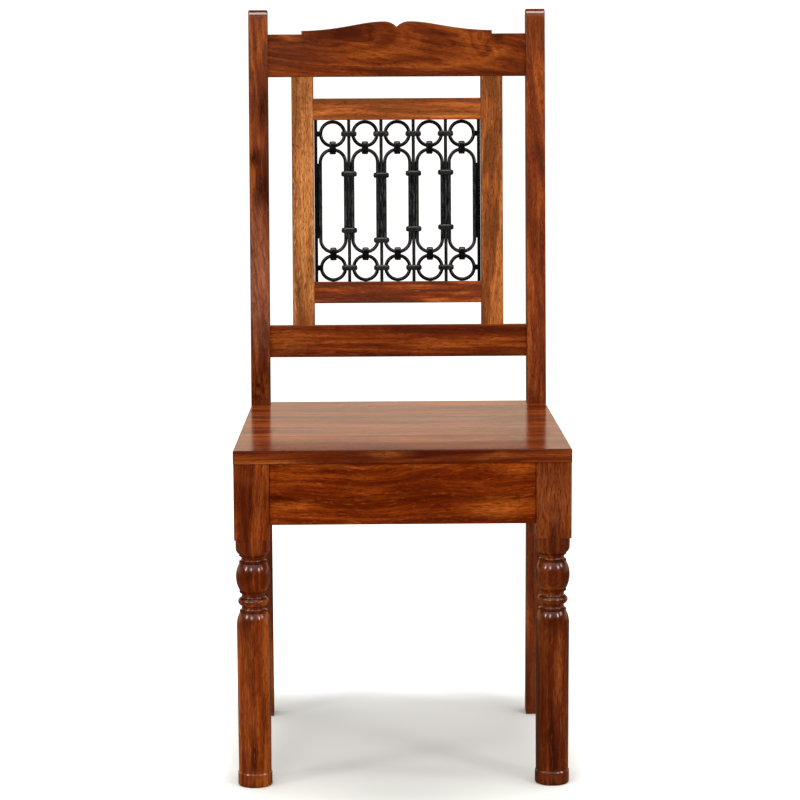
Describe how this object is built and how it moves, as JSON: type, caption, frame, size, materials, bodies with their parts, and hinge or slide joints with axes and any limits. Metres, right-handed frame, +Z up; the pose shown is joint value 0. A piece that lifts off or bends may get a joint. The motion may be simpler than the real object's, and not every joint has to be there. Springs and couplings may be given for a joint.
{
  "type": "dining chair",
  "caption": "Wooden dining chair with turned front legs, a flat board seat and a high back that holds a black iron ring-and-arch grille under a lobed crest rail.",
  "frame": {"origin": "on the floor, under the middle of the chair's width and of its overall depth", "axes": "+Z up, -Y towards the front of the chair, +X to the right as seen from the front"},
  "size_m": [0.4458, 0.4479, 1.0093],
  "materials": {
    "frame_wood": "glossy lacquer",
    "panel_wood": "glossy lacquer",
    "seat_wood": "glossy lacquer",
    "inner_wood": "sawn, unfinished",
    "black_iron": "satin black",
    "screw_steel": "zinc plated"
  },
  "bodies": {
    "root": {"corner_block_front_left": "inner_wood", "corner_block_front_right": "inner_wood", "corner_block_rear_left": "inner_wood", "corner_block_rear_right": "inner_wood", "corner_block_screws": "screw_steel", "crest_rail": "frame_wood", "front_apron": "frame_wood", "front_leg_left": "frame_wood", "front_leg_right": "frame_wood", "grille_collars_lower": "black_iron", "grille_collars_upper": "black_iron", "grille_loop_1": "black_iron", "grille_loop_2": "black_iron", "grille_loop_3": "black_iron", "grille_loop_4": "black_iron", "grille_loop_5": "black_iron", "grille_ring_bottom_1": "black_iron", "grille_ring_bottom_2": "black_iron", "grille_ring_bottom_3": "black_iron", "grille_ring_bottom_4": "black_iron", "grille_ring_bottom_5": "black_iron", "grille_ring_collars_bottom": "black_iron", "grille_ring_collars_top": "black_iron", "grille_ring_top_1": "black_iron", "grille_ring_top_2": "black_iron", "grille_ring_top_3": "black_iron", "grille_ring_top_4": "black_iron", "grille_ring_top_5": "black_iron", "grille_rod_1": "black_iron", "grille_rod_2": "black_iron", "grille_rod_3": "black_iron", "grille_rod_4": "black_iron", "grille_side_bar_left": "black_iron", "grille_side_bar_right": "black_iron", "grille_side_spacers": "black_iron", "grille_ties_bottom": "black_iron", "grille_ties_top": "black_iron", "lower_back_rail": "frame_wood", "panel_rail_bottom": "panel_wood", "panel_rail_top": "panel_wood", "panel_stile_left": "panel_wood", "panel_stile_right": "panel_wood", "rear_apron": "frame_wood", "rear_post_left": "frame_wood", "rear_post_right": "frame_wood", "seat_board_1": "seat_wood", "seat_board_2": "seat_wood", "seat_board_3": "seat_wood", "seat_board_4": "seat_wood", "seat_screws": "screw_steel", "side_apron_left": "frame_wood", "side_apron_right": "frame_wood"}
  },
  "joints": []
}
